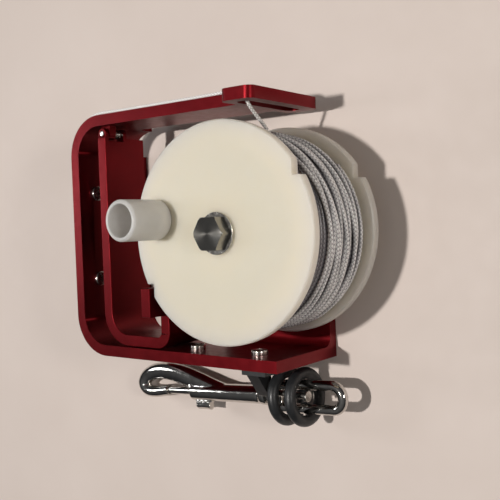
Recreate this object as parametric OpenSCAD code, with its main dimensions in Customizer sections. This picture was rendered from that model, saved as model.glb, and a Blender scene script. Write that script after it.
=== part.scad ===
// Dive reel lying on its back: bent plate frame, turned spool, squeeze lever with a ratchet pawl,
// wound line led through a guide slot, and a bolt snap on two rubber rings.
// Origin: on the spool's axle at the back face of the frame. +Z runs along the axle towards the
// winding knob, +X from the handle to the open end of the frame, +Y to the line guide.

/* [Frame] */
// Thickness of the frame and lever plate
plate_t = 5; // [4:0.5:6]
// Outer distance between the top and bottom arms
frame_h = 112.8; // [110:0.2:120]
// Distance from the axle to the outside of the handle wall
handle_reach = 98.5; // [94:0.5:106]
// Distance from the axle to the free ends of the arms
arm_reach = 18.5; // [16:0.5:22]
// Inner radius of the handle corners
corner_r = 14; // [10:0.5:18]
// Height of the band's front edge above the back face
band_front_z = 46; // [44:0.5:49]
// Height of the top arm's back edge above the back face
band_back_z = 19; // [16:0.5:21]
// Height up to which the handle wall reaches the back face, measured from the axle
wall_step_y = 40; // [30:1:44]
// Left edge of the rear plate, from the axle
rear_plate_left = 40; // [32:1:46]

/* [Line guide] */
// Length of the guide tab along the arm
guide_len = 15.5; // [14:0.5:18]
// Width of the line slot
slot_w = 6.5; // [5:0.5:7.5]
// Margin between the slot's ends and the tab's ends
slot_margin = 5; // [3.5:0.5:8]
// Distance from the slot's middle to the tab's free end
slot_inset = 8.8; // [7.5:0.1:9.5]
// Corner radius of the tab
guide_corner_r = 3.5; // [2:0.5:4]

/* [Spool] */
// Diameter of the flanges
flange_d = 90; // [86:0.5:92]
// Thickness of each flange
flange_t = 4.5; // [4:0.25:5.5]
// Width of the line space between the flanges
line_w = 41; // [39:0.5:42]
// Diameter of the spool's hub
hub_d = 32; // [26:1:40]
// Distance from the axle to the notch's long side
notch_x = 36; // [35.2:0.1:36.8]
// Distance from the axle to the notch's short side
notch_y = 20.9; // [20.4:0.1:21.4]

/* [Axle] */
// Diameter of the axle bolt
axle_d = 8; // [7:0.5:9]
// Width across the flats of the bolt's head
head_af = 13; // [12:0.5:15]
// Thickness of the bolt's head
head_t = 5.3; // [4:0.1:6]
// Outer diameter of the bush that the spool turns on
bush_d = 12; // [11:0.5:14]
// Outer diameter of the threaded insert in the rear plate
insert_d = 14; // [12:0.5:16]
// Diameter of the washer under the bolt's head
head_washer_d = 17; // [15:0.5:20]
// Thickness of the washer under the bolt's head
head_washer_t = 1.0; // [0.8:0.1:1.6]
// Diameter of the thrust washer behind the spool
thrust_d = 26; // [20:1:30]
// Thickness of the thrust washer behind the spool
thrust_t = 1.8; // [1.5:0.1:2.4]

/* [Winding knob] */
// Diameter of the knob
knob_d = 17; // [15:0.5:19]
// Length of the knob
knob_len = 22; // [20:0.5:26]
// Diameter of the knob's open bore
knob_bore_d = 13.5; // [12:0.5:14]
// Thickness of the knob's floor
knob_floor = 5; // [4:0.5:7]
// Distance from the axle to the knob's axis
knob_r = 32.7; // [30:0.1:34]
// Angle of the knob around the axle
knob_angle = 168.7; // [160:0.1:176]

/* [Lever] */
// Gap between the handle wall and the lever
lever_gap = 13; // [11:0.5:14]
// Width of the lever along the axle
lever_w = 25; // [23:0.5:26]
// Gap between the lever's foot and the bottom arm
foot_gap = 0.5; // [0.4:0.1:0.8]
// Gap between the top arm and the lever's shoulder
shoulder_gap = 5.4; // [5:0.1:6.5]
// Inner radius of the lever's lower bend
lever_bend_r = 10; // [7:0.5:12]
// Inner radius of the lever's turned up toe
toe_bend_r = 2.5; // [1.5:0.5:4]
// Gap between the released pawl and the rim of the spool
pawl_gap = 0.6; // [0.4:0.1:0.9]
// Height of the pawl bar
pawl_h = 12.6; // [10:0.2:14]
// Diameter of the lever's hinge pin
hinge_d = 2.5; // [2:0.1:2.8]

/* [Line] */
// Diameter of the line
line_d = 1.6; // [1.4:0.1:1.7]
// Radius of the outer layer near the rear flange
wind_r_rear = 41.3; // [40:0.1:41.6]
// Radius of the outer layer near the front flange
wind_r_front = 39.3; // [38:0.1:40.6]
// Number of turns in the outer layer
wind_turns = 17; // [10:1:17]

/* [Screws] */
// Diameter of the frame screws
screw_d = 4; // [3:0.5:4.5]
// Diameter of the frame screws' heads
screw_head_d = 7; // [6:0.5:8]
// Distance of the two handle screws from the axle's level
handle_screw_y = 20.7; // [18:0.1:24]
// Distance of all frame screws behind the band's front edge
screw_inset = 10; // [8:0.5:12]
// Place of the saddle's screw along the bottom arm
saddle_screw_x = 3; // [0:0.5:6]
// Place of the spare screw along the bottom arm, left of the axle
spare_screw_x = 31; // [28:0.5:33]

/* [Bolt snap] */
// Radius of the snap's barrel
barrel_r = 4.25; // [4:0.05:4.5]
// Radius of the wire of the swivel eye
eye_wire_r = 2.25; // [2:0.05:2.4]
// Half the distance between the eye's side wires
eye_half_w = 5.2; // [5:0.1:5.4]
// Diameter of the sliding bolt
gate_d = 4; // [3.5:0.1:4.4]
// Travel of the sliding bolt
gate_travel = 12; // [9:0.5:13]
// Radius of the rubber rings' section
ring_r = 2.5; // [2.2:0.1:2.6]
// Diameter of the saddle's pin
saddle_pin_d = 2.8; // [2.4:0.1:3]

/* [Hidden] */
$fn = 64;
FRAME_RED = [0.56, 0.04, 0.07];
SPOOL_WHITE = [0.93, 0.92, 0.86];
KNOB_WHITE = [0.86, 0.87, 0.86];
STEEL = [0.72, 0.72, 0.70];
LINE_SILVER = [0.80, 0.81, 0.82];
BLACK = [0.05, 0.05, 0.06];
BRASS = [0.72, 0.58, 0.30];

// Clearances
run_gap = 0.06;  // radial, between a pin and the bore that turns on it
seat_gap = 0.04; // radial, between two pieces that are fixed together
face_gap = 0.25; // axial, between a turning face and its neighbour
eps = 0.02;

// Frame
out_y = frame_h / 2;
in_y = out_y - plate_t;
wall_x = -handle_reach;
wall_in_x = wall_x + plate_t;
corner_out_r = corner_r + plate_t;
flare_back_z = band_back_z / 2;
plate_bend_r = 4;
step_r = 4;

// Spool, stacked up from the rear plate
bush_z0 = plate_t + thrust_t;
spool_z0 = bush_z0 + face_gap;
line_z0 = spool_z0 + flange_t;
line_z1 = line_z0 + line_w;
spool_z1 = line_z1 + flange_t;
bush_z1 = spool_z1 + face_gap;
head_z0 = bush_z1 + head_washer_t;
rim_r = flange_d / 2;
head_flat = 0.4; // how far the flat top of the bolt's head reaches past its flats

// Line guide tab, as wide as the spool
guide_z0 = spool_z0 + 1;
guide_z1 = spool_z1;
guide_x0 = arm_reach - guide_len;
slot_x = arm_reach - slot_inset;

// Knob
knob_pos = [knob_r * cos(knob_angle), knob_r * sin(knob_angle)];
knob_z0 = spool_z1 + face_gap;
knob_screw_d = 5;
knob_head_d = 9;
knob_head_t = 2.6;
knob_insert_d = 8;
knob_screw_len = 4.2;

// Lever: the plate's left and right faces, its front and back, and the pawl's corner
lever_x0 = wall_in_x + lever_gap;
lever_z1 = band_front_z - 1;
lever_z0 = lever_z1 - lever_w;
lever_y0 = -in_y + foot_gap;
lever_y1 = in_y - shoulder_gap;
pawl_y1 = -notch_y - 2;
pawl_x1 = -sqrt(pow(rim_r + pawl_gap, 2) - pow(pawl_y1, 2));
pawl_x0 = pawl_x1 - plate_t;
pawl_z0 = spool_z0 + 0.4;
pawl_z1 = spool_z1 - 0.4;
toe_out_r = toe_bend_r + plate_t;

// Hinge at the lever's top: a tongue with a slot for the frame's lug and the spring
hinge_x = lever_x0 + plate_t / 2;
hinge_y = in_y - 3.5;
lug_r = 2.9;
tongue_z1 = lever_z1 - 0.5;
tongue_wall = 2.2;
tongue_w = 13.6;
lug_w = 3.8;
tongue_z0 = tongue_z1 - tongue_w;
hinge_slot_z0 = tongue_z0 + tongue_wall;
hinge_slot_z1 = tongue_z1 - tongue_wall;
lug_z1 = hinge_slot_z1 - face_gap;
lug_z0 = lug_z1 - lug_w;

// Return spring on the hinge pin
spring_wire_r = 0.35;
spring_r = hinge_d / 2 + spring_wire_r + 0.35;
spring_curls = 3;
spring_pitch = 1.2;
spring_z0 = hinge_slot_z0 + spring_wire_r + face_gap;

// Screws
screw_z = band_front_z - screw_inset;
screw_head_t = 2.4;
socket_d = 2.9;

// Winding: the outer layer is one tube over a core
LOOP_RINGS = 24;
LINE_SIDES = 6;
line_r = line_d / 2;
wind_margin = line_r + 0.9;
wind_z0 = line_z0 + wind_margin;
wind_z1 = line_z1 - wind_margin;
wind_steps = wind_turns * LOOP_RINGS;
wind_end_angle = 105;
core_gap = 0.1;
// How far the straight pieces between the rings of a turn dip towards the core
chord_dip = wind_r_rear * (1 - cos(180 / LOOP_RINGS));

// Saddle under the bottom arm: its block holds a headed pin that the rings hang on
saddle_t = 3;
saddle_y = -out_y - saddle_t;
saddle_left = 13;
saddle_right = 7;
saddle_x0 = saddle_screw_x - saddle_left;
saddle_x1 = saddle_screw_x + saddle_right;
ear_t = 6;
ear_r = 2.2;
saddle_pin = [-71, 19.2];
saddle_z0 = 20;
saddle_z1 = 31;
saddle_tongue_w = 12;
saddle_tongue_over = 5;
saddle_tongue_z1 = screw_z + saddle_tongue_over;

// Bolt snap in its own frame: x along the barrel towards the eye, centre of the eye at the origin
snap_pos = [10, -72.6, 14.2];
snap_turn = [0, -4.5, 4.6];
barrel_x0 = -69;
barrel_x1 = -20;
barrel_end_wall = 4;
swivel_pin_r = 1.5;
swivel_head_r = 1.9;
swivel_head_t = 1.2;
swivel_boss_x1 = -14.5;
gate_tip_x = -86.4;
gate_back_x = -50;
nose_x = -86;
nose_depth = 2;
stud_x = -62;
stud_w = 11;
stud_t = 2.2;
stud_out = 8.4;
stud_gap = 0.15;
eye_straight_x0 = -13;
eye_straight_x1 = 15.4;
ring_places = [-9, 0.5];
ring_clear = 0.45;
ring_mid_r = eye_half_w + eye_wire_r + ring_clear + ring_r;
// Room for the lean of the rings, and the pin's head after it
pin_spare = 1.4;
pin_head_r = 2.4;
pin_head_t = 1.2;
pin_x1 = snap_pos[0] + ring_places[1] + ring_r + pin_spare;

// Middle line of the hook and its radius at each point
hook_path = [[-49, 0.5], [-56, 1.5], [-64, 4], [-73, 7.8], [-82, 10.8], [-90, 12], [-97, 11.2],
             [-102.5, 8.4], [-105.5, 4.6], [-104.6, 1.2], [-101, -0.6], [-95.5, -0.9], [-90, -0.4], [nose_x, 0]];
hook_radii = [3, 3.6, 3.7, 3.6, 3.5, 3.5, 3.4, 3.3, 3.2, 3.1, 3, 2.9, 2.9, 2.9];
HOOK_SIDES = 14;

// Route of the free line: from the top of the winding, through the slot, along the outside of the
// top arm, round the corner and down the handle wall to the knot
free_line = [[8.5, 41.9, 32.8], [9, 44, 36.4], [9.6, 47, 41.6], [10.3, 50, 46.6], [10.6, 52.6, 49],
             [10.2, 55, 49.4], [8.6, 56.9, 48.6], [5.4, 57.5, 47.2], [0, 57.5, 45.2], [-8, 57.4, 44.2],
             [-25, 57.4, 43.6], [-45, 57.4, 43.4], [-65, 57.4, 43.2], [-79.5, 57.6, 43], [-84.7, 56.9, 42.8],
             [-89.6, 54.9, 42.5], [-93.8, 51.7, 42.1], [-97, 47.5, 41.7], [-99, 42.6, 41.3], [-99.9, 38.6, 41],
             [-100.6, 35.1, 40.7]];
FREE_SIDES = 8;
knot_pos = [-101.9, 32.2, 40.4];
knot_r = 3;

// Shapes that repeat

// Ring of points around c, square to the direction t, with one axis kept near up
function ring_points(c, t, up, r, sides) =
    let (u = cross(t, up) / norm(cross(t, up)), v = cross(u, t) / norm(t))
    [for (k = [0 : sides - 1]) c + r * (cos(360 * k / sides) * u + sin(360 * k / sides) * v)];

// Direction of a path at its point i
function path_dir(p, i) = p[min(i + 1, len(p) - 1)] - p[max(i - 1, 0)];

// Tube along a path, with a radius at each point
module tube(path, radii, ups, sides) {
    n = len(path);
    points = [for (i = [0 : n - 1]) each ring_points(path[i], path_dir(path, i), ups[i], radii[i], sides)];
    sides_faces = [for (i = [0 : n - 2], k = [0 : sides - 1])
        let (a = i * sides + k, b = i * sides + (k + 1) % sides)
        each [[a, b, a + sides], [b, b + sides, a + sides]]];
    start_face = [for (k = [1 : sides - 2]) [0, k + 1, k]];
    last = (n - 1) * sides;
    end_face = [for (k = [1 : sides - 2]) [last, last + k, last + k + 1]];
    polyhedron(points, concat(sides_faces, start_face, end_face), convexity = 10);
}

// A path with a straight piece of one tube diameter added at both ends
function with_straight_ends(p, d) =
    let (n = len(p), a = (p[0] - p[1]) / norm(p[0] - p[1]), b = (p[n - 1] - p[n - 2]) / norm(p[n - 1] - p[n - 2]))
    concat([p[0] + d * a], p, [p[n - 1] + d * b]);

// Least gap between a coil and its own next turn, from the points of its middle line
function coil_gap(p, per_turn, d) =
    min([for (i = [0 : len(p) - per_turn - 1], s = [-2 : 2])
        let (j = i + per_turn + s) if (j < len(p)) norm(p[i] - p[j])]) - d;

// C-shaped outline, open at its right end, with round corners at the handle
module half_round_block(x0, x1, half_h, r) {
    translate([x0 + r, -half_h]) square([x1 - x0 - r, 2 * half_h]);
    translate([x0, -half_h + r]) square([r + eps, 2 * (half_h - r)]);
    for (side = [-1, 1])
        translate([x0 + r, side * (half_h - r)]) circle(r);
}

module band_outline() {
    difference() {
        half_round_block(wall_x, arm_reach, out_y, corner_out_r);
        half_round_block(wall_in_x, arm_reach + 1, in_y, corner_r);
    }
}

// Rounded rectangle with true arcs
module rounded_box_2d(size, r) {
    translate([r, 0]) square([size[0] - 2 * r, size[1]]);
    translate([0, r]) square([size[0], size[1] - 2 * r]);
    for (x = [r, size[0] - r], y = [r, size[1] - r])
        translate([x, y]) circle(r);
}

// Concave corner of radius r between the +X and +Y axes
module corner_fill_2d(r) {
    difference() {
        translate([-eps, -eps]) square(r + eps);
        translate([r, r]) circle(r);
    }
}

// Hole or shank along +X, +Y or +Z that starts at its place
module rod(r, h) {
    cylinder(r = r, h = h);
}

// Pan head screw along +Z: head's underside at z = 0, shank below
module pan_screw(shank) {
    difference() {
        union() {
            translate([0, 0, -shank]) rod(screw_d / 2, shank + eps);
            rotate_extrude() {
                square([screw_head_d / 2 - 0.8, screw_head_t]);
                square([screw_head_d / 2, screw_head_t - 0.8]);
                translate([screw_head_d / 2 - 0.8, screw_head_t - 0.8]) circle(0.8);
            }
        }
        translate([0, 0, screw_head_t - 1.4]) cylinder(d = socket_d, h = 2, $fn = 6);
    }
}

// Places of the frame's screws, each with its head inside
module at_handle_screws() {
    for (side = [-1, 1])
        translate([wall_in_x, side * handle_screw_y, screw_z]) rotate([0, 90, 0]) children();
}

module at_arm_screw(x) {
    translate([x, -in_y, screw_z]) rotate([-90, 0, 0]) children();
}

// Frame

module guide_tab_2d() {
    difference() {
        rounded_box_2d([guide_len, guide_z1 - guide_z0], guide_corner_r);
        translate([slot_x - guide_x0, 0]) {
            translate([-slot_w / 2, slot_margin + slot_w / 2])
                square([slot_w, guide_z1 - guide_z0 - 2 * slot_margin - slot_w]);
            for (z = [slot_margin + slot_w / 2, guide_z1 - guide_z0 - slot_margin - slot_w / 2])
                translate([0, z]) circle(slot_w / 2);
        }
    }
}

// Slices of the band at each depth: rear foot, flared corner and full band
module frame_band() {
    translate([0, 0, band_back_z]) linear_extrude(band_front_z - band_back_z)
        difference() {
            band_outline();
            translate([guide_x0 + guide_corner_r, in_y - 1]) square([guide_len, plate_t + 2]);
        }
    translate([0, 0, flare_back_z]) linear_extrude(band_back_z - flare_back_z + eps)
        intersection() {
            band_outline();
            translate([wall_x - 1, -out_y - 1]) square([corner_out_r + 1, frame_h + 2]);
        }
    linear_extrude(band_back_z + eps)
        intersection() {
            band_outline();
            translate([wall_x - 1, -out_y - 1]) square([handle_reach + arm_reach + 2, out_y + 1 + wall_step_y]);
        }
    // Concave corners where the band steps back
    translate([wall_x + corner_out_r, in_y, band_back_z]) rotate([-90, 0, 0])
        linear_extrude(plate_t) corner_fill_2d(step_r);
    translate([wall_x, wall_step_y, flare_back_z]) rotate([0, 90, 0])
        linear_extrude(plate_t) corner_fill_2d(step_r);
}

module rear_plate() {
    linear_extrude(plate_t) {
        circle(arm_reach);
        translate([-arm_reach, -in_y - 1]) square([2 * arm_reach, in_y + 1]);
        translate([-rear_plate_left, -in_y - 1]) square([rear_plate_left, in_y - arm_reach]);
        translate([-arm_reach, -arm_reach - 1]) mirror([1, 0]) corner_fill_2d(arm_reach / 2);
    }
    translate([-rear_plate_left, -in_y, plate_t]) rotate([90, 0, 90])
        linear_extrude(rear_plate_left + arm_reach) corner_fill_2d(plate_bend_r);
}

module frame() {
    color(FRAME_RED) difference() {
        union() {
            frame_band();
            rear_plate();
            translate([guide_x0, out_y, guide_z0]) rotate([90, 0, 0])
                linear_extrude(plate_t) guide_tab_2d();
            // Hinge lug for the lever
            translate([hinge_x, hinge_y, lug_z0]) {
                rod(lug_r, lug_w);
                translate([-lug_r, 0, 0]) cube([2 * lug_r, in_y - hinge_y + 0.5, lug_w]);
            }
        }
        translate([0, 0, -1]) rod(insert_d / 2 + seat_gap, plate_t + 2);
        translate([hinge_x, hinge_y, lug_z0 - 1]) rod(hinge_d / 2 + seat_gap, lug_w + 2);
        at_handle_screws() translate([0, 0, -plate_t - 1]) rod(screw_d / 2 + seat_gap, plate_t + 2);
        for (x = [saddle_screw_x, -spare_screw_x])
            at_arm_screw(x) translate([0, 0, -plate_t - 1]) rod(screw_d / 2 + seat_gap, plate_t + 2);
    }
}

// Axle

module axle_insert() {
    color(STEEL) difference() {
        rod(insert_d / 2, plate_t);
        translate([0, 0, -1]) rod(axle_d / 2 + seat_gap, plate_t + 2);
    }
}

module axle_bolt() {
    color(STEEL) {
        rod(axle_d / 2, head_z0 + eps);
        intersection() {
            translate([0, 0, head_z0]) cylinder(r = head_af / sqrt(3), h = head_t, $fn = 6);
            // Turned chamfer on the corners of the hexagon
            translate([0, 0, head_z0 - eps]) cylinder(r1 = head_af, r2 = head_af / 2 + head_flat, h = head_t + 2 * eps);
        }
    }
}

module axle_washer() {
    color(STEEL) translate([0, 0, bush_z1]) difference() {
        rod(head_washer_d / 2, head_washer_t);
        translate([0, 0, -1]) rod(axle_d / 2 + seat_gap, head_washer_t + 2);
    }
}

module axle_bush() {
    color(BRASS) translate([0, 0, bush_z0]) difference() {
        rod(bush_d / 2, bush_z1 - bush_z0);
        translate([0, 0, -1]) rod(axle_d / 2 + seat_gap, bush_z1 - bush_z0 + 2);
    }
}

module thrust_washer() {
    color(BLACK) translate([0, 0, plate_t]) difference() {
        rod(thrust_d / 2, thrust_t);
        translate([0, 0, -1]) rod(axle_d / 2 + seat_gap, thrust_t + 2);
    }
}

// Spool

// Square notch that the pawl drops into, with its sides along X and Y
module notch_2d() {
    translate([notch_x, notch_y]) square(flange_d);
}

module flange(z0) {
    edge = 0.5;
    translate([0, 0, z0]) difference() {
        rotate_extrude($fn = 128)
            polygon([[0, 0], [rim_r - edge, 0], [rim_r, edge], [rim_r, flange_t - edge], [rim_r - edge, flange_t], [0, flange_t]]);
        for (turn = [0, 180])
            rotate(turn) translate([0, 0, -1]) linear_extrude(flange_t + 2) notch_2d();
    }
}

module spool() {
    color(SPOOL_WHITE) difference() {
        union() {
            flange(spool_z0);
            flange(line_z1);
            translate([0, 0, spool_z0]) rod(hub_d / 2, spool_z1 - spool_z0);
        }
        translate([0, 0, spool_z0 - 1]) rod(bush_d / 2 + run_gap, spool_z1 - spool_z0 + 2);
        translate([knob_pos[0], knob_pos[1], line_z1 - 1]) rod(knob_insert_d / 2 + seat_gap, flange_t + 2);
    }
}

// Winding

function wind_radius(f) = wind_r_rear + (wind_r_front - wind_r_rear) * f;

wind_path = [for (i = [0 : wind_steps])
    let (f = i / wind_steps, a = wind_end_angle - 360 * (wind_steps - i) / LOOP_RINGS, r = wind_radius(f))
    [r * cos(a), r * sin(a), wind_z0 + (wind_z1 - wind_z0) * f]];

module line_core() {
    inner = line_r + chord_dip + core_gap;
    color(LINE_SILVER) rotate_extrude($fn = 96)
        polygon([[hub_d / 2 + seat_gap, line_z0 + eps], [wind_r_rear - inner, line_z0 + eps],
                 [wind_r_rear - inner, wind_z0], [wind_r_front - inner, wind_z1],
                 [wind_r_front - inner, line_z1 - eps], [hub_d / 2 + seat_gap, line_z1 - eps]]);
}

module line_winding() {
    path = with_straight_ends(wind_path, line_d);
    echo("line_winding: least gap between turns", coil_gap(wind_path, LOOP_RINGS, line_d));
    color(LINE_SILVER)
        tube(path, [for (p = path) line_r], [for (p = path) [0, 0, 1]], LINE_SIDES);
}

module line_free() {
    color(LINE_SILVER)
        tube(free_line, [for (p = free_line) line_r], [for (p = free_line) [0.1, 0, 1]], FREE_SIDES);
}

module line_knot() {
    color([0.80, 0.72, 0.56]) {
        translate(knot_pos) sphere(knot_r);
        translate([knot_pos[0] + 0.2, knot_pos[1] - 2.6, knot_pos[2] - 0.6]) sphere(knot_r * 0.8);
    }
}

// Winding knob

module at_knob(z) {
    translate([knob_pos[0], knob_pos[1], z]) children();
}

module winding_knob() {
    edge = 0.8;
    color(KNOB_WHITE) at_knob(knob_z0) difference() {
        rotate_extrude()
            polygon([[0, 0], [knob_d / 2 - edge, 0], [knob_d / 2, edge], [knob_d / 2, knob_len - edge],
                     [knob_d / 2 - edge, knob_len], [0, knob_len]]);
        translate([0, 0, knob_floor]) rod(knob_bore_d / 2, knob_len);
        translate([0, 0, -1]) rod(knob_screw_d / 2 + run_gap, knob_len);
    }
}

module knob_screw() {
    head_z = knob_z0 + knob_floor + face_gap;
    color(STEEL) difference() {
        union() {
            at_knob(spool_z1 - knob_screw_len) rod(knob_screw_d / 2, head_z - spool_z1 + knob_screw_len + eps);
            at_knob(head_z) rod(knob_head_d / 2, knob_head_t);
        }
        at_knob(head_z + knob_head_t - 1.5) cylinder(d = socket_d + 0.8, h = 2, $fn = 6);
    }
}

module knob_insert() {
    color(BRASS) at_knob(spool_z1 - knob_screw_len) difference() {
        rod(knob_insert_d / 2, knob_screw_len);
        translate([0, 0, -1]) rod(knob_screw_d / 2 + seat_gap, knob_screw_len + 2);
    }
}

// Lever

// Bent strip: grip, lower bend, foot and turned up toe
module lever_outline() {
    bend_out = lever_bend_r + plate_t;
    difference() {
        union() {
            translate([lever_x0, lever_y0 + bend_out]) square([plate_t, lever_y1 - lever_y0 - bend_out]);
            translate([lever_x0 + bend_out, lever_y0]) square([pawl_x1 - toe_out_r - lever_x0 - bend_out, plate_t]);
            intersection() {
                translate([lever_x0 + bend_out, lever_y0 + bend_out]) circle(bend_out);
                translate([lever_x0, lever_y0]) square(bend_out);
            }
            intersection() {
                translate([pawl_x1 - toe_out_r, lever_y0 + toe_out_r]) circle(toe_out_r);
                translate([pawl_x1 - toe_out_r, lever_y0]) square(toe_out_r);
            }
            translate([pawl_x0, lever_y0 + toe_out_r]) square([plate_t, pawl_y1 - lever_y0 - toe_out_r]);
        }
        translate([lever_x0 + bend_out, lever_y0 + bend_out]) circle(lever_bend_r);
        translate([pawl_x1 - toe_out_r, lever_y0 + toe_out_r]) circle(toe_bend_r);
    }
}

module ratchet_lever() {
    color(FRAME_RED) difference() {
        union() {
            translate([0, 0, lever_z0]) linear_extrude(lever_w) lever_outline();
            // Pawl bar across both flanges
            translate([pawl_x0, pawl_y1 - pawl_h, pawl_z0]) cube([plate_t, pawl_h, pawl_z1 - pawl_z0]);
            // Hinge tongue
            translate([hinge_x, hinge_y, tongue_z0]) rod(plate_t / 2, tongue_w);
            translate([lever_x0, lever_y1 - 1, tongue_z0]) cube([plate_t, hinge_y - lever_y1 + 1, tongue_w]);
        }
        translate([lever_x0 - 1, hinge_y - lug_r - 0.5, hinge_slot_z0])
            cube([plate_t + 2, 3 * lug_r, hinge_slot_z1 - hinge_slot_z0]);
        translate([hinge_x, hinge_y, tongue_z0 - 1]) rod(hinge_d / 2 + run_gap, tongue_w + 2);
    }
}

module hinge_pin() {
    color(STEEL) translate([hinge_x, hinge_y, tongue_z0]) rod(hinge_d / 2, tongue_w);
}

spring_path = [for (i = [0 : spring_curls * 8])
    [hinge_x + spring_r * cos(45 * i), hinge_y + spring_r * sin(45 * i), spring_z0 + spring_pitch * i / 8]];

module lever_spring() {
    path = with_straight_ends(spring_path, 2 * spring_wire_r);
    echo("lever_spring: least gap between curls", coil_gap(spring_path, 8, 2 * spring_wire_r));
    color(STEEL)
        tube(path, [for (p = path) spring_wire_r], [for (p = path) [0, 0, 1]], LINE_SIDES);
}

// Screws

module handle_screws() {
    color(STEEL) at_handle_screws() pan_screw(plate_t);
}

module spare_screw() {
    color(STEEL) at_arm_screw(-spare_screw_x) pan_screw(plate_t);
}

module saddle_screw() {
    color(STEEL) at_arm_screw(saddle_screw_x) pan_screw(plate_t + saddle_t);
}

// Saddle and rings

module clip_saddle() {
    ear_depth = 0.1;
    color(BLACK) difference() {
        union() {
            translate([saddle_x0, saddle_y, saddle_z0])
                cube([saddle_x1 - saddle_x0, saddle_t, saddle_z1 - saddle_z0]);
            translate([saddle_screw_x - saddle_tongue_w / 2, saddle_y, saddle_z0])
                cube([saddle_tongue_w, saddle_t, saddle_tongue_z1 - saddle_z0]);
            translate([saddle_x0, 0, 0]) rotate([90, 0, 90]) linear_extrude(ear_t) hull() {
                translate(saddle_pin) circle(ear_r, $fn = 32);
                translate([saddle_y, saddle_z0]) square([ear_depth, saddle_z1 - saddle_z0]);
            }
        }
        translate([saddle_x0 - 1, saddle_pin[0], saddle_pin[1]]) rotate([0, 90, 0])
            rod(saddle_pin_d / 2 + seat_gap, ear_t + 2);
        at_arm_screw(saddle_screw_x) translate([0, 0, -plate_t - saddle_t - 1])
            rod(screw_d / 2 + seat_gap, saddle_t + 2);
    }
}

module saddle_pin() {
    color(STEEL) translate([0, saddle_pin[0], saddle_pin[1]]) {
        along_x(saddle_x0, pin_x1 + eps, saddle_pin_d / 2);
        along_x(pin_x1, pin_x1 + pin_head_t, pin_head_r);
    }
}

module in_snap() {
    translate(snap_pos) rotate(snap_turn) children();
}

module rubber_ring(place) {
    color(BLACK) in_snap() translate([place, 0, 0]) rotate([0, 90, 0])
        rotate_extrude() translate([ring_mid_r, 0]) circle(ring_r, $fn = 32);
}

module rubber_ring_left() {
    rubber_ring(ring_places[0]);
}

module rubber_ring_right() {
    rubber_ring(ring_places[1]);
}

// Bolt snap

module along_x(x0, x1, r) {
    translate([x0, 0, 0]) rotate([0, 90, 0]) rod(r, x1 - x0);
}

module snap_body() {
    path = [for (p = hook_path) [p[0], p[1], 0]];
    color(STEEL) in_snap() difference() {
        union() {
            along_x(barrel_x0, barrel_x1, barrel_r);
            tube(path, hook_radii, [for (p = path) [0, 0, 1]], HOOK_SIDES);
        }
        // Bore of the sliding bolt, its slot, and the swivel's neck
        along_x(barrel_x0 - 3, barrel_x1 - barrel_end_wall, gate_d / 2 + run_gap);
        along_x(nose_x - nose_depth, nose_x + 1, gate_d / 2 + run_gap);
        along_x(barrel_x1 - barrel_end_wall - 1, barrel_x1 + 1, swivel_pin_r + run_gap);
        translate([stud_x - stud_w / 2 - 0.5, -barrel_r - 2, -stud_t / 2 - stud_gap])
            cube([stud_w + gate_travel + 1, barrel_r + 2, stud_t + 2 * stud_gap]);
    }
}

module snap_eye() {
    color(STEEL) in_snap() {
        along_x(barrel_x1 + face_gap, swivel_boss_x1, barrel_r - 0.3);
        along_x(barrel_x1 - barrel_end_wall - face_gap, barrel_x1 + face_gap + eps, swivel_pin_r);
        along_x(barrel_x1 - barrel_end_wall - face_gap - swivel_head_t, barrel_x1 - barrel_end_wall - face_gap + eps,
                swivel_head_r);
        for (side = [-1, 1])
            translate([0, side * eye_half_w, 0]) along_x(eye_straight_x0, eye_straight_x1, eye_wire_r);
        translate([eye_straight_x1, 0, 0]) rotate(-90) rotate_extrude(angle = 180)
            translate([eye_half_w, 0]) circle(eye_wire_r, $fn = 32);
        // Shoulder that joins the side wires to the swivel
        translate([eye_straight_x0, -eye_half_w, 0]) rotate([-90, 0, 0]) rod(eye_wire_r, 2 * eye_half_w);
        for (side = [-1, 1])
            translate([eye_straight_x0, side * eye_half_w, 0]) sphere(eye_wire_r);
    }
}

module snap_gate() {
    color(STEEL) in_snap() {
        along_x(gate_tip_x, gate_back_x, gate_d / 2);
        translate([stud_x - stud_w / 2, -barrel_r - 0.6, -stud_t / 2]) cube([stud_w, barrel_r, stud_t]);
        // Curved thumb pad
        translate([stud_x, -barrel_r - 0.6, 0]) rotate([90, 0, 0]) linear_extrude(stud_out - barrel_r - 0.6)
            rounded_box_2d_centred([stud_w, 4.4], 2);
    }
}

module rounded_box_2d_centred(size, r) {
    translate(-size / 2) rounded_box_2d(size, r);
}

module snap_spring() {
    color(STEEL) in_snap() difference() {
        along_x(gate_back_x + face_gap, barrel_x1 - barrel_end_wall - 2 * face_gap - swivel_head_t, gate_d / 2 - 0.1);
        along_x(gate_back_x, barrel_x1, gate_d / 2 - 0.7);
    }
}

frame();
axle_bolt();
axle_washer();
axle_bush();
thrust_washer();
axle_insert();
spool();
line_core();
line_winding();
line_free();
line_knot();
winding_knob();
knob_screw();
knob_insert();
ratchet_lever();
hinge_pin();
lever_spring();
handle_screws();
spare_screw();
saddle_screw();
clip_saddle();
saddle_pin();
rubber_ring_left();
rubber_ring_right();
snap_body();
snap_eye();
snap_gate();
snap_spring();
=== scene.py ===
"""Looks of a dive reel that lies on its back: finishes, wound line, free line with its knot, bolt snap."""
import math
import random

import bmesh
import bpy
from mathutils import Euler, Matrix, Vector, noise


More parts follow.
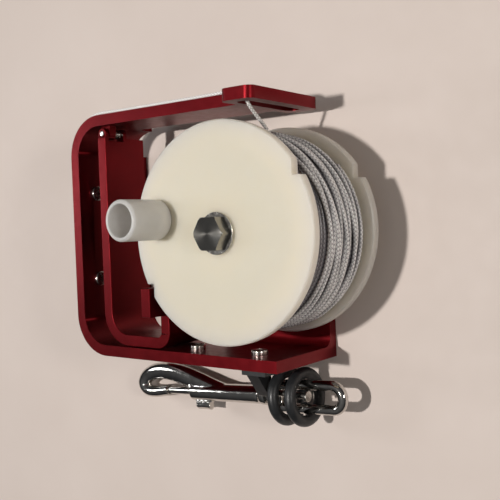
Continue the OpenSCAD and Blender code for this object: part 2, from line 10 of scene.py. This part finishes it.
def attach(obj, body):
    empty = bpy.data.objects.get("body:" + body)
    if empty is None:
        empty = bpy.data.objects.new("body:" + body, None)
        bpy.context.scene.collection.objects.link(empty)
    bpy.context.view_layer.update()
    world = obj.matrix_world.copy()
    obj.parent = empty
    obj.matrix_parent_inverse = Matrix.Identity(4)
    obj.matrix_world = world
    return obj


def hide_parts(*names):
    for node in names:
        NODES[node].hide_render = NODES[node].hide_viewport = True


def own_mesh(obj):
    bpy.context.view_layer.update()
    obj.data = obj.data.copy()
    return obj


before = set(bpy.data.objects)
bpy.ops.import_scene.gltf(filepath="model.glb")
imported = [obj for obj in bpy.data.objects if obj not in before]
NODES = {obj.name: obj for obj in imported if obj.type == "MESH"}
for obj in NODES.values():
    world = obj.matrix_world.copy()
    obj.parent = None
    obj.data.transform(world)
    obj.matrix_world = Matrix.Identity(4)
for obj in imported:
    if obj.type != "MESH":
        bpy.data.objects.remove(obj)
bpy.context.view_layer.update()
MM = 0.001

# Camera at the photograph's viewing angle
CAMERA_PLACE = Vector((196.5, 3.5, 295.4)) * MM
CAMERA_TURN = (-3.496, 37.069, -2.562)
CAMERA_LENS = 56.16
CAMERA_SENSOR = 36

# Light of the room by height, as (position, level), and the lamps: place, aim, size, watts, colour
WORLD_LEVEL = 0.14
ROOM_LEVELS = [(0.0, 0.10), (0.95, 1.0), (0.45, 0.35)]
LAMPS = {
    "key": ((-0.13, 0.03, 1.1), (0, 0, 0), 0.04, 8.9, (1.0, 0.96, 0.92)),
    "right lamp": ((0.75, 0.08, 0.42), (0, 0, 0.03), 0.14, 1.75, (1.0, 0.96, 0.91)),
    "window": ((-0.88, 0.07, 0.54), (-0.02, 0, 0.03), 0.22, 1.25, (0.97, 0.98, 1.0)),
}
FLOOR_HALF = 6
FLOOR_DROP = 0.02

# Free line, in millimetres
LINE_R = 0.8
FREE_ROUTE = [
    (8.5, 41.9, 32.8), (9, 44, 36.4), (9.6, 47, 41.6), (10.3, 50, 46.6), (10.6, 52.6, 49),
    (10.2, 55, 49.4), (8.6, 56.9, 48.6), (5.4, 57.5, 47.2), (0, 57.5, 45.2), (-8, 57.4, 44.2),
    (-25, 57.4, 43.6), (-45, 57.4, 43.4), (-65, 57.4, 43.2), (-79.5, 57.6, 43), (-84.7, 56.9, 42.8),
    (-89.6, 54.9, 42.5), (-93.8, 51.7, 42.1), (-97, 47.5, 41.7), (-99, 42.6, 41.3), (-99.9, 38.6, 41),
    (-100.6, 35.1, 40.7),
]
ROUTE_SPACING = 0.28
KNOT_PLACE = Vector((-101.9, 31.2, 40.3))
KNOT_STEPS = 90
KNOT_STRAND_R = 0.78
FRAY_START = Vector((0.2, -2.2, -0.2))
FRAY_STRANDS = 7
FRAY_R = 0.16

# Braid: its pitch, carriers each way and depth, and the painted shade of turns that lie buried
BRAID_PITCH = 1.7
BRAID_CARRIERS = 3
BRAID_DEPTH = 0.14
SHADE_SPAN = 50
BURIED_SHADE = (0.24, 0.23, 0.25)
STRETCH = 25

# Wound line: its place on the spool, the fall beside the front flange and the reach of the lever's pawl bar
WIND_TOP = 52.2
WIND_BOTTOM = 12.4
WIND_R = 39.4
WIND_FALL = 4.5
FALL_FROM = 40
FALL_OVER = 8
WIND_LIMIT = 41.3
LAYER_STEP = 1.3
LOOSE_LINE_R = 0.95
GUIDE_ANGLE = math.radians(75)
STEPS_A_TURN = 60
# Layers: turns, first and last height, lift, wander, lean, seed, angle of the last end
LAYERS = [
    (25, WIND_BOTTOM, WIND_TOP, 0.0, 0.3, 0, 1, 105),
    (7, 43, 14, LAYER_STEP, 2.2, 2, 2, 40),
    (4, 16, 41, 1.7 * LAYER_STEP, 4.0, 5, 3, 200),
    (2, 37, 24, 1.9 * LAYER_STEP, 5.0, 9, 4, 75),
]

# Bolt snap in its own frame: x along the barrel towards the eye
SNAP_FRAME = Matrix.Translation((10, -72.6, 14.2)) @ Euler(
    [math.radians(a) for a in (0, -4.5, 4.6)]).to_matrix().to_4x4()
BARREL_R = 4.25
BARREL_PROFILE = [(-69, 0), (-69, 3.5), (-68.2, BARREL_R), (-25.2, BARREL_R), (-24.6, 4.05), (-23.8, 4.05),
                  (-23.2, 4.5), (-20.7, 4.5), (-20, 3.9), (-20, 0)]
GATE_R = 2.0
GATE_PROFILE = [(-86.4, 0), (-86.4, 1.5), (-85.9, GATE_R), (-50, GATE_R), (-50, 0)]
BORE_R = GATE_R + 0.15
HOOK_PATH = [(-46, 0.6), (-54, 1.8), (-63, 4), (-73, 7), (-82, 9), (-90, 9.7), (-97, 9), (-102.5, 6.8),
             (-105.5, 3.6), (-104.6, 0.7), (-101, -0.9), (-95.5, -1), (-90, -0.4), (-86, 0)]
HOOK_HALF_WIDTHS = [3.4, 4.4, 5.1, 5.0, 4.6, 4.3, 4.1, 3.9, 3.6, 3.3, 3.1, 3, 2.9, 2.9]
HOOK_HALF_THICKNESS = 3.1
WEB_PATH = [(-46, 0, 0), (-56, 0.2, 0), (-64, 0.9, 0), (-69.5, 2.2, 0)]
WEB_HALF_AXES = (3.4, 4.1)
PAD_PLACES = (-66.4, -65, -63.5, -62, -60.5, -59, -57.6)
COIL_SPAN = (-49.6, -25.9)
COIL_TURNS = 14
COIL_STEPS = 24
COIL_R = 1.5
COIL_WIRE_R = 0.27
EYE_HALF_W = 5.2
EYE_WIRE_R = 2.25
EYE_STRAIGHT = (-13, 15.4)
SWIVEL_PROFILE = [(-19.75, 0), (-19.75, 3.4), (-19.2, 3.95), (-15.6, 3.95), (-14.5, 3.0), (-14.5, 0)]


# Material graphs

class Graph:
    """Node tree of one material, with short calls that add nodes and link them."""

    def __init__(self, name, **constants):
        self.material = bpy.data.materials.new(name)
        self.material.use_nodes = True
        self.tree = self.material.node_tree
        self.shader = self.tree.nodes["Principled BSDF"]
        for socket, value in constants.items():
            self.shader.inputs[socket.replace("_", " ")].default_value = value
        self.places = self.node("ShaderNodeTexCoord").outputs["Object"]

    def node(self, kind, *inputs, **settings):
        made = self.tree.nodes.new(kind)
        for name, value in settings.items():
            setattr(made, name, value)
        for socket, value in zip(made.inputs, inputs):
            self.feed(socket, value)
        return made

    def feed(self, socket, value):
        if isinstance(value, bpy.types.NodeSocket):
            self.tree.links.new(value, socket)
        elif value is not None:
            socket.default_value = value

    def math(self, operation, first, second=None):
        return self.node("ShaderNodeMath", first, second, operation=operation).outputs[0]

    def multiply(self, first, second):
        return self.node("ShaderNodeMixRGB", 1.0, first, second, blend_type="MULTIPLY").outputs[0]

    def noise(self, size_mm, detail=3.0, places=None):
        made = self.node("ShaderNodeTexNoise", self.places if places is None else places)
        made.inputs["Scale"].default_value = 1 / (size_mm * MM)
        made.inputs["Detail"].default_value = detail
        return made.outputs[0]

    def axle_radius(self):
        axis = self.node("ShaderNodeSeparateXYZ", self.places)
        squares = [self.math("POWER", axis.outputs[k], 2.0) for k in (0, 1)]
        return self.math("SQRT", self.math("ADD", *squares))

    def ramp(self, factor, *stops):
        made = self.node("ShaderNodeValToRGB", factor)
        elements = made.color_ramp.elements
        while len(elements) < len(stops):
            elements.new(0.5)
        for element, (position, value) in zip(elements, stops):
            element.position = position
            element.color = (*value, 1) if isinstance(value, tuple) else (value, value, value, 1)
        return made.outputs[0]

    def paint(self, factor, *stops):
        self.feed(self.shader.inputs["Base Color"], self.ramp(factor, *stops))

    def gloss(self, factor, *stops):
        self.feed(self.shader.inputs["Roughness"], self.ramp(factor, *stops))

    def rings(self, pitch_mm):
        """Wave of tool rings about the axle."""
        return self.math("SINE", self.math("MULTIPLY", self.axle_radius(), 2 * math.pi / (pitch_mm * MM)))

    def bump(self, height, depth_mm, strength=1.0):
        made = self.node("ShaderNodeBump")
        made.inputs["Strength"].default_value = strength
        made.inputs["Distance"].default_value = depth_mm * MM
        self.feed(made.inputs["Height"], height)
        self.feed(made.inputs["Normal"], self.normal if hasattr(self, "normal") else None)
        self.normal = made.outputs[0]
        self.feed(self.shader.inputs["Normal"], self.normal)


def anodised_red():
    g = Graph("anodised_red", Metallic=0.85)
    g.paint(g.noise(14, 4), (0.3, (0.145, 0.003, 0.006)), (0.7, (0.18, 0.004, 0.008)))
    g.gloss(g.noise(3, 4), (0.35, 0.36), (0.65, 0.42))
    g.bump(g.noise(0.22, 2), 0.004, 0.4)
    return g.material


def turned_steel():
    """Lathe-turned face about the axle, with its fine rings and streaked gloss."""
    g = Graph("turned_steel", Metallic=1.0, Anisotropic=0.7, Anisotropic_Rotation=0.25)
    g.paint(g.noise(0.9, 4), (0.3, (0.30, 0.29, 0.27)), (0.7, (0.36, 0.35, 0.32)))
    g.gloss(g.noise(2, 3), (0.3, 0.18), (0.7, 0.24))
    g.bump(g.rings(0.16), 0.003, 0.2)
    tangent = g.node("ShaderNodeTangent", direction_type="RADIAL", axis="Z")
    g.feed(g.shader.inputs["Tangent"], tangent.outputs[0])
    return g.material


def plain_steel():
    g = Graph("plain_steel", Metallic=1.0)
    g.paint(g.noise(1.2, 4), (0.3, (0.48, 0.46, 0.43)), (0.7, (0.64, 0.62, 0.58)))
    g.gloss(g.noise(1.2, 3), (0.3, 0.18), (0.7, 0.28))
    g.bump(g.noise(0.6, 2), 0.003, 0.3)
    return g.material


def polished_steel():
    g = Graph("polished_steel", Metallic=1.0)
    g.paint(g.noise(5, 4), (0.3, (0.52, 0.50, 0.47)), (0.7, (0.64, 0.62, 0.59)))
    g.gloss(g.noise(2.5, 6), (0.3, 0.06), (0.7, 0.14))
    g.bump(g.noise(3.0, 3), 0.05, 0.2)
    return g.material


def brass():
    g = Graph("machined_brass", Metallic=1.0)
    g.paint(g.noise(2, 4), (0.3, (0.56, 0.40, 0.17)), (0.7, (0.68, 0.50, 0.24)))
    g.gloss(g.noise(0.8, 4), (0.3, 0.26), (0.7, 0.38))
    return g.material


def white_plastic():
    """Turned sheet plastic that lets a little light in, with faint tool rings about the axle."""
    g = Graph("white_plastic", Subsurface_Weight=0.9, Subsurface_Scale=14 * MM,
              Subsurface_Radius=(1.0, 0.93, 0.85), IOR=1.48)
    # Painted light: greyer and cooler towards the rim, where light leaves through the edge
    clouds = g.math("MULTIPLY", g.noise(25, 2), 8 * MM)
    outward = g.math("DIVIDE", g.math("ADD", g.axle_radius(), clouds), 55 * MM)
    g.paint(outward,
            (0.35, (0.75, 0.68, 0.54)), (0.75, (0.74, 0.67, 0.54)), (0.92, (0.68, 0.64, 0.57)))
    g.gloss(g.noise(3, 4), (0.3, 0.38), (0.7, 0.48))
    g.bump(g.rings(0.5), 0.004, 0.25)
    g.bump(g.noise(0.4, 3), 0.006, 0.4)
    return g.material


def knob_plastic():
    g = Graph("knob_plastic", Subsurface_Weight=0.8, Subsurface_Scale=9 * MM,
              Subsurface_Radius=(1.0, 0.95, 0.9), IOR=1.48, Transmission_Weight=0.2)
    g.paint(g.noise(6, 3), (0.3, (0.76, 0.74, 0.70)), (0.7, (0.82, 0.80, 0.76)))
    g.gloss(g.noise(1.2, 4), (0.3, 0.36), (0.7, 0.48))
    g.bump(g.noise(0.35, 3), 0.008, 0.5)
    return g.material


def braided(name, thread, gap_shade, roughness, depth, shade=None):
    """Braid in the tube's own length and turn: two sets of carriers that cross in lozenges.
    shade is the pair of radii about the axle over which the painted shade of buried turns fades, paler
    outward."""
    g = Graph(name, Specular_IOR_Level=0.8, Coat_Weight=0.5, Coat_Roughness=0.2)
    run = g.node("ShaderNodeUVMap", uv_map="run").outputs[0]
    uv = g.node("ShaderNodeSeparateXYZ", run)
    along = g.math("DIVIDE", uv.outputs[0], BRAID_PITCH)
    around = g.math("MULTIPLY", uv.outputs[1], BRAID_CARRIERS)
    right = g.math("SINE", g.math("MULTIPLY", g.math("ADD", along, around), math.pi))
    left = g.math("SINE", g.math("MULTIPLY", g.math("SUBTRACT", along, around), math.pi))
    lozenge = g.math("ABSOLUTE", g.math("MULTIPLY", right, left))
    # Painted shade darkens the gaps between the carriers, and a painted highlight pales the crests of the
    # lozenges
    colour = g.ramp(lozenge, (0.0, gap_shade), (0.35, thread), (1.0, tuple(min(1, c * 1.1) for c in thread)))
    # Painted shade: the deeper a turn lies about the axle, the darker it is painted
    if shade:
        outward = g.math("DIVIDE", g.axle_radius(), SHADE_SPAN * MM)
        depth_shade = g.ramp(outward, (shade[0] / SHADE_SPAN, BURIED_SHADE), (shade[1] / SHADE_SPAN, 1.0))
        # The run is in millimetres, so noise is told its size as if they were metres
        stretches = g.ramp(g.noise(STRETCH / MM, 2, run), (0.38, 0.68), (0.52, 1.0))
        colour = g.multiply(colour, g.multiply(depth_shade, stretches))
    g.feed(g.shader.inputs["Base Color"], colour)
    g.gloss(g.noise(0.7, 3), (0.3, roughness - 0.06), (0.7, roughness + 0.08))
    g.bump(lozenge, depth, 0.7)
    return g.material


def black_plastic():
    g = Graph("black_plastic")
    g.paint(g.noise(4, 4), (0.3, (0.012, 0.012, 0.013)), (0.7, (0.022, 0.022, 0.024)))
    g.gloss(g.noise(1.0, 4), (0.3, 0.38), (0.7, 0.5))
    g.bump(g.noise(0.3, 3), 0.02, 0.5)
    return g.material


def rubber():
    g = Graph("black_rubber")
    g.paint(g.noise(3, 5), (0.3, (0.008, 0.009, 0.010)), (0.7, (0.020, 0.021, 0.023)))
    g.gloss(g.noise(1.4, 5), (0.3, 0.34), (0.7, 0.52))
    g.bump(g.noise(0.5, 4), 0.03, 0.6)
    return g.material


def pale_floor():
    g = Graph("pale_floor")
    g.paint(g.noise(60, 3), (0.3, (0.66, 0.575, 0.525)), (0.7, (0.69, 0.605, 0.555)))
    g.gloss(g.noise(8, 4), (0.3, 0.6), (0.7, 0.75))
    return g.material


MATERIALS = {
    "red_anodised": anodised_red(),
    "turned_steel": turned_steel(),
    "steel": plain_steel(),
    "polished_steel": polished_steel(),
    "brass": brass(),
    "white_plastic": white_plastic(),
    "knob_plastic": knob_plastic(),
    "line": braided("braided_line", (0.92, 0.91, 0.89), (0.42, 0.41, 0.40), 0.2, 0.12),
    "wound_line": braided("wound_line", (1.0, 0.99, 0.97), (0.34, 0.32, 0.35), 0.18, 0.12,
                          shade=(40.3, 41.7)),
    "knot": braided("braided_knot", (0.58, 0.46, 0.30), (0.24, 0.17, 0.10), 0.6, 0.12),
    "black_plastic": black_plastic(),
    "rubber": rubber(),
}


# Mesh helpers

def path_length(path):
    return sum((b - a).length for a, b in zip(path, path[1:]))


def run_lengths(path):
    """Distance along the path at each of its points."""
    lengths = [0.0]
    for a, b in zip(path, path[1:]):
        lengths.append(lengths[-1] + (b - a).length)
    return lengths


def smooth_path(points, steps):
    """Curve through the points, with so many steps between each two."""
    points = [Vector(p) for p in points]
    ends = [2 * points[0] - points[1], *points, 2 * points[-1] - points[-2]]
    made = []
    for a, b, c, d in zip(ends, ends[1:], ends[2:], ends[3:]):
        for k in range(steps):
            t = k / steps
            made.append(0.5 * (2 * b + (c - a) * t + (2 * a - 5 * b + 4 * c - d) * t * t
                               + (3 * b - a - 3 * c + d) * t ** 3))
    return made + [points[-1]]


def even_path(path, spacing):
    """The same path with points at an even spacing along it."""
    count = max(2, round(path_length(path) / spacing))
    step = path_length(path) / count
    made = [path[0].copy()]
    left = step
    for a, b in zip(path, path[1:]):
        span = (b - a).length
        at = left
        while at <= span + 1e-9 and len(made) < count:
            made.append(a.lerp(b, at / span))
            at += step
        left = at - span
    return made + [path[-1].copy()]


def add_tube(mesh, path, radius, sides, uv=None, closed=False, side=None):
    """Tube along a path. radius is a number, or a function of the point's index and the angle from side.
    uv is the layer that takes the length along the tube and the share of a turn around it."""
    count = len(path)
    reach = radius if callable(radius) else lambda i, a: radius
    rings = []
    for i, place in enumerate(path):
        after = path[(i + 1) % count] if closed else path[min(i + 1, count - 1)]
        before = path[i - 1] if closed or i else path[0]
        run = (after - before).normalized()
        if side is None:
            side = run.orthogonal().normalized()
        side = (side - run * side.dot(run)).normalized()
        other = run.cross(side)
        angles = [2 * math.pi * k / sides for k in range(sides)]
        rings.append([mesh.verts.new(place + reach(i, a) * (math.cos(a) * side + math.sin(a) * other))
                      for a in angles])
    lengths = run_lengths(path)
    if closed:
        rings.append(rings[0])
        lengths.append(lengths[-1] + (path[0] - path[-1]).length)
    for i in range(len(rings) - 1):
        for k in range(sides):
            n = (k + 1) % sides
            face = mesh.faces.new((rings[i][k], rings[i][n], rings[i + 1][n], rings[i + 1][k]))
            if uv:
                corners = ((i, k), (i, k + 1), (i + 1, k + 1), (i + 1, k))
                for loop, (row, turn) in zip(face.loops, corners):
                    loop[uv].uv = (lengths[row], turn / sides)
    if not closed:
        mesh.faces.new(list(reversed(rings[0])))
        mesh.faces.new(rings[-1])


def add_revolved(mesh, profile, sides=48):
    """Body turned about the local x axis, from (x, radius) points that start and end on the axis."""
    rings = []
    for x, r in profile[1:-1]:
        rings.append([mesh.verts.new((x, r * math.cos(a), r * math.sin(a)))
                      for a in (2 * math.pi * k / sides for k in range(sides))])
    first = mesh.verts.new((profile[0][0], 0, 0))
    last = mesh.verts.new((profile[-1][0], 0, 0))
    for k in range(sides):
        n = (k + 1) % sides
        mesh.faces.new((first, rings[0][k], rings[0][n]))
        for a, b in zip(rings, rings[1:]):
            mesh.faces.new((a[k], b[k], b[n], a[n]))
        mesh.faces.new((last, rings[-1][n], rings[-1][k]))


def add_box(mesh, low, high):
    low, high = Vector(low), Vector(high)
    place = Matrix.Translation((low + high) / 2) @ Matrix.Diagonal((*(high - low), 1))
    bmesh.ops.create_cube(mesh, size=1, matrix=place)


def finish_mesh(mesh, name, place=None):
    """Object in metres from a mesh drawn in millimetres, with smooth faces."""
    bmesh.ops.recalc_face_normals(mesh, faces=mesh.faces)
    if place is not None:
        mesh.transform(place)
    mesh.transform(Matrix.Scale(MM, 4))
    data = bpy.data.meshes.new(name)
    mesh.to_mesh(data)
    mesh.free()
    data.shade_smooth()
    piece = bpy.data.objects.new(name, data)
    bpy.context.scene.collection.objects.link(piece)
    return piece


def apply_modifiers(piece):
    graph = bpy.context.evaluated_depsgraph_get()
    data = bpy.data.meshes.new_from_object(piece.evaluated_get(graph))
    piece.modifiers.clear()
    piece.data = data


def cast(piece, voxel_mm, passes):
    """Fuses overlapping forms into one skin with soft inner corners, as on a cast and polished piece."""
    fuse = piece.modifiers.new("Fuse", "REMESH")
    fuse.mode = "VOXEL"
    fuse.voxel_size = voxel_mm * MM
    fuse.use_smooth_shade = True
    soften = piece.modifiers.new("Soften", "SMOOTH")
    soften.factor = 0.5
    soften.iterations = passes
    apply_modifiers(piece)


def cut(piece, cutter):
    trim = piece.modifiers.new("Cut", "BOOLEAN")
    trim.operation = "DIFFERENCE"
    trim.solver = "EXACT"
    trim.object = cutter
    apply_modifiers(piece)
    bpy.data.objects.remove(cutter)


def dress(piece, material, body):
    piece.data.materials.clear()
    piece.data.materials.append(MATERIALS[material])
    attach(piece, body)


# Camera, floor and lights

def place_camera():
    data = bpy.data.cameras.new("camera")
    data.lens = CAMERA_LENS
    data.sensor_width = CAMERA_SENSOR
    camera = bpy.data.objects.new("camera", data)
    camera.location = CAMERA_PLACE
    camera.rotation_euler = [math.radians(a) for a in CAMERA_TURN]
    bpy.context.scene.collection.objects.link(camera)
    bpy.context.scene.camera = camera


def lay_floor():
    mesh = bmesh.new()
    bmesh.ops.create_grid(mesh, x_segments=2, y_segments=2, size=FLOOR_HALF)
    data = bpy.data.meshes.new("floor")
    mesh.to_mesh(data)
    mesh.free()
    floor = bpy.data.objects.new("floor", data)
    floor.location.z = -FLOOR_DROP * MM
    data.materials.append(pale_floor())
    bpy.context.scene.collection.objects.link(floor)


def hang_light(name, place, aim, size, watts, colour):
    data = bpy.data.lights.new(name, "AREA")
    data.shape = "DISK"
    data.size = size
    data.energy = watts
    data.color = colour
    light = bpy.data.objects.new(name, data)
    light.location = place
    light.rotation_euler = (Vector(aim) - Vector(place)).to_track_quat("-Z", "Y").to_euler()
    bpy.context.scene.collection.objects.link(light)


def light_scene():
    world = bpy.data.worlds.new("studio")
    world.use_nodes = True
    tree = world.node_tree
    back = tree.nodes["Background"]
    back.inputs["Strength"].default_value = WORLD_LEVEL
    # Dim walls under a brighter ceiling, so that metal has something to mirror
    height = tree.nodes.new("ShaderNodeSeparateXYZ")
    tree.links.new(tree.nodes.new("ShaderNodeTexCoord").outputs["Generated"], height.inputs[0])
    room = tree.nodes.new("ShaderNodeValToRGB")
    stops = room.color_ramp.elements
    for stop, (position, level) in zip((stops[0], stops[1], stops.new(0.5)), ROOM_LEVELS):
        stop.position = position
        stop.color = (0.95 * level, 0.95 * level, level, 1)
    tree.links.new(height.outputs[2], room.inputs[0])
    tree.links.new(room.outputs[0], back.inputs["Color"])
    bpy.context.scene.world = world
    for name, settings in LAMPS.items():
        hang_light(name, *settings)


# Free line and its knot

def relief(path, depth):
    """Radius of a braided tube with real lozenges, for add_tube."""
    lengths = run_lengths(path)

    def radius(i, a):
        along = lengths[i] / BRAID_PITCH
        around = BRAID_CARRIERS * a / (2 * math.pi)
        lozenge = abs(math.sin(math.pi * (along + around)) * math.sin(math.pi * (along - around)))
        return LINE_R - depth * (1 - lozenge)
    return radius


def make_knot():
    """Overhand knot pulled small, with a short frayed tail."""
    mesh = bmesh.new()
    uv = mesh.loops.layers.uv.new("run")
    loop = []
    for k in range(KNOT_STEPS):
        t = 2 * math.pi * k / KNOT_STEPS
        x = 0.62 * -math.sin(3 * t)
        y = 1.02 * (math.sin(t) + 2 * math.sin(2 * t)) * 0.9
        z = 0.85 * (math.cos(t) - 2 * math.cos(2 * t)) * 0.8
        loop.append(KNOT_PLACE + Vector((x, y, z)))
    add_tube(mesh, loop, KNOT_STRAND_R, 10, uv, closed=True)
    draws = random.Random(5)
    for _ in range(FRAY_STRANDS):
        start = KNOT_PLACE + FRAY_START
        lean = Vector((draws.uniform(-0.5, 0.4), -1, draws.uniform(-0.5, 0.5)))
        tail = [start + lean * s for s in (0, 0.7, 1.4, 2.0)]
        add_tube(mesh, tail, FRAY_R, 5, uv)
    knot = finish_mesh(mesh, "knot_of_line")
    dress(knot, "knot", "frame")
    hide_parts("line_knot")
    return knot


def make_free_line(knot):
    path = even_path(smooth_path(FREE_ROUTE, 12), ROUTE_SPACING)
    mesh = bmesh.new()
    uv = mesh.loops.layers.uv.new("run")
    add_tube(mesh, path, relief(path, BRAID_DEPTH), 14, uv)
    line = finish_mesh(mesh, "free_line")
    dress(line, "line", "frame")
    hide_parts("line_free")


# Wound line

def wound_radius(z):
    """Radius of the full reel, which falls off beside the front flange."""
    t = min(1, max(0, (z - FALL_FROM) / FALL_OVER))
    return WIND_R - WIND_FALL * t * t * (3 - 2 * t)


def wound_layer(turns, z_from, z_to, lift, wander, lean, seed, end_angle):
    """Path of one layer of turns, which lean towards the front flange under the line guide."""
    steps = STEPS_A_TURN * turns
    made = []
    for i in range(steps + 1):
        f = i / steps
        angle = math.radians(end_angle) - 2 * math.pi * (turns - turns * f)
        drift = noise.noise(Vector((f * turns * 0.9, seed, 0.5))) * wander
        drift += lean * math.cos(angle - GUIDE_ANGLE)
        wave = noise.noise(Vector((f * turns * 1.7, seed + 7, 2.5))) * 0.25 * wander ** 0.5
        z = min(WIND_TOP - LINE_R, max(WIND_BOTTOM + LINE_R, z_from + (z_to - z_from) * f + drift))
        r = min(WIND_LIMIT, wound_radius(z) + lift + wave)
        made.append(Vector((r * math.cos(angle), r * math.sin(angle), z)))
    return made


def make_winding():
    mesh = bmesh.new()
    uv = mesh.loops.layers.uv.new("run")
    for depth, layer in enumerate(LAYERS):
        add_tube(mesh, wound_layer(*layer), LOOSE_LINE_R if depth else LINE_R, 8, uv)
    wound = finish_mesh(mesh, "wound_line")
    dress(wound, "wound_line", "spool")
    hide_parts("line_winding", "line_core")


# Bolt snap

def oval(first, second, angle):
    """Radius of an oval with two half axes, at an angle from the first."""
    return first * second / math.hypot(second * math.cos(angle), first * math.sin(angle))


def make_snap_body():
    mesh = bmesh.new()
    upright = Vector((0, 0, 1))
    add_revolved(mesh, BARREL_PROFILE)
    hook = smooth_path([(x, y, 0) for x, y in HOOK_PATH], 8)
    widths = smooth_path([(r, 0, 0) for r in HOOK_HALF_WIDTHS], 8)
    add_tube(mesh, hook, lambda i, a: oval(HOOK_HALF_THICKNESS, widths[i].x, a), 32, side=upright)
    # Web between the barrel and the root of the hook
    web = smooth_path(WEB_PATH, 8)
    add_tube(mesh, web, lambda i, a: oval(*WEB_HALF_AXES, a), 28, side=upright)
    body = finish_mesh(mesh, "snap_hook", SNAP_FRAME)
    cast(body, 0.34, 8)
    hollow = bmesh.new()
    # Bore of the sliding bolt in the barrel and in the hook's nose, and the slot of its stud
    for x0, x1 in ((-73, -24), (-88, -84)):
        add_revolved(hollow, [(x0, 0), (x0, BORE_R), (x1, BORE_R), (x1, 0)])
    add_box(hollow, (-68, -7, -1.3), (-44, 0, 1.3))
    cut(body, finish_mesh(hollow, "snap_hollow", SNAP_FRAME))
    dress(body, "polished_steel", "snap")
    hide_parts("snap_body")


def make_snap_gate():
    mesh = bmesh.new()
    add_revolved(mesh, GATE_PROFILE, 32)
    add_box(mesh, (-67.5, -4.9, -1.1), (-56.5, 0, 1.1))
    add_box(mesh, (-66.6, -7, -1.7), (-57.4, -4.6, 1.7))
    # Thumb pad, dished along its length
    pad = [Vector((x, -6.7 - 0.012 * (x + 62) ** 2, 0)) for x in PAD_PLACES]
    add_tube(mesh, pad, lambda i, a: 1.5 + 0.5 * abs(math.cos(a)), 20)
    gate = finish_mesh(mesh, "snap_thumb_bolt", SNAP_FRAME)
    cast(gate, 0.24, 4)
    dress(gate, "polished_steel", "gate")
    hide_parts("snap_gate")


def make_snap_eye():
    mesh = bmesh.new()
    start, end = EYE_STRAIGHT
    outline = [Vector((start, -EYE_HALF_W, 0)), Vector((end, -EYE_HALF_W, 0))]
    outline += [Vector((end + EYE_HALF_W * math.sin(a), -EYE_HALF_W * math.cos(a), 0))
                for a in (math.pi * k / 24 for k in range(1, 24))]
    outline += [Vector((end, EYE_HALF_W, 0)), Vector((start, EYE_HALF_W, 0))]
    outline += [Vector((start - 1.2, EYE_HALF_W * (1 - 0.4 * k), 0)) for k in range(1, 5)]
    add_tube(mesh, outline, EYE_WIRE_R, 24, closed=True)
    add_revolved(mesh, SWIVEL_PROFILE)
    eye = finish_mesh(mesh, "snap_swivel_eye", SNAP_FRAME)
    cast(eye, 0.32, 6)
    dress(eye, "polished_steel", "snap_link")
    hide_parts("snap_eye")


def make_snap_coil():
    """Spring behind the thumb bolt, drawn at one length; on the real snap it shortens as the bolt is drawn
    back.
    """
    start, end = COIL_SPAN
    mesh = bmesh.new()
    steps = COIL_STEPS * COIL_TURNS
    path = []
    for k in range(steps + 1):
        angle = 2 * math.pi * k / COIL_STEPS
        x = start + (end - start) * k / steps
        path.append(Vector((x, COIL_R * math.cos(angle), COIL_R * math.sin(angle))))
    add_tube(mesh, path, COIL_WIRE_R, 8)
    coil = finish_mesh(mesh, "snap_coil", SNAP_FRAME)
    dress(coil, "steel", "snap")
    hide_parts("snap_spring")
    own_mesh(coil)


# Carried-over pieces: material and the width of their broken edges in millimetres

CARRIED = {
    "frame": ("red_anodised", 0.28),
    "ratchet_lever": ("red_anodised", 0.28),
    "spool": ("white_plastic", 0.35),
    "winding_knob": ("knob_plastic", 0.4),
    "axle_bolt": ("turned_steel", 0.15),
    "axle_washer": ("steel", 0.15),
    "axle_bush": ("brass", 0.1),
    "thrust_washer": ("black_plastic", 0.15),
    "axle_insert": ("steel", 0.1),
    "knob_screw": ("steel", 0.12),
    "knob_insert": ("brass", 0.1),
    "hinge_pin": ("steel", 0.15),
    "lever_spring": ("steel", 0.0),
    "handle_screws": ("steel", 0.12),
    "spare_screw": ("steel", 0.12),
    "saddle_screw": ("steel", 0.12),
    "clip_saddle": ("black_plastic", 0.4),
    "saddle_pin": ("steel", 0.15),
    "rubber_ring_left": ("rubber", 0.0),
    "rubber_ring_right": ("rubber", 0.0),
}


WELD_GAP = 0.001
SHARP_ANGLE = math.radians(38)


def break_edges(node, width_mm):
    """Joins the solid's facets and rounds its sharp edges, over the mesh as packed."""
    join = node.modifiers.new("Join", "WELD")
    join.merge_threshold = WELD_GAP * MM
    if width_mm:
        edge = node.modifiers.new("Edge", "BEVEL")
        edge.width = width_mm * MM
        edge.segments = 3
        edge.limit_method = "ANGLE"
        edge.angle_limit = SHARP_ANGLE
    # Flat faces stay flat beside round ones
    flat = node.modifiers.new("Flat", "WEIGHTED_NORMAL")
    flat.mode = "FACE_AREA"
    flat.weight = 100
    flat.keep_sharp = False


def dress_carried():
    for name, (material, edge) in CARRIED.items():
        node = NODES[name]
        node.data.materials.clear()
        node.data.materials.append(MATERIALS[material])
        node.data.shade_smooth()
        break_edges(node, edge)


def main():
    scene = bpy.context.scene
    scene.view_settings.view_transform = "Standard"
    place_camera()
    lay_floor()
    light_scene()
    make_free_line(make_knot())
    make_winding()
    make_snap_body()
    make_snap_gate()
    make_snap_eye()
    make_snap_coil()
    dress_carried()


main()
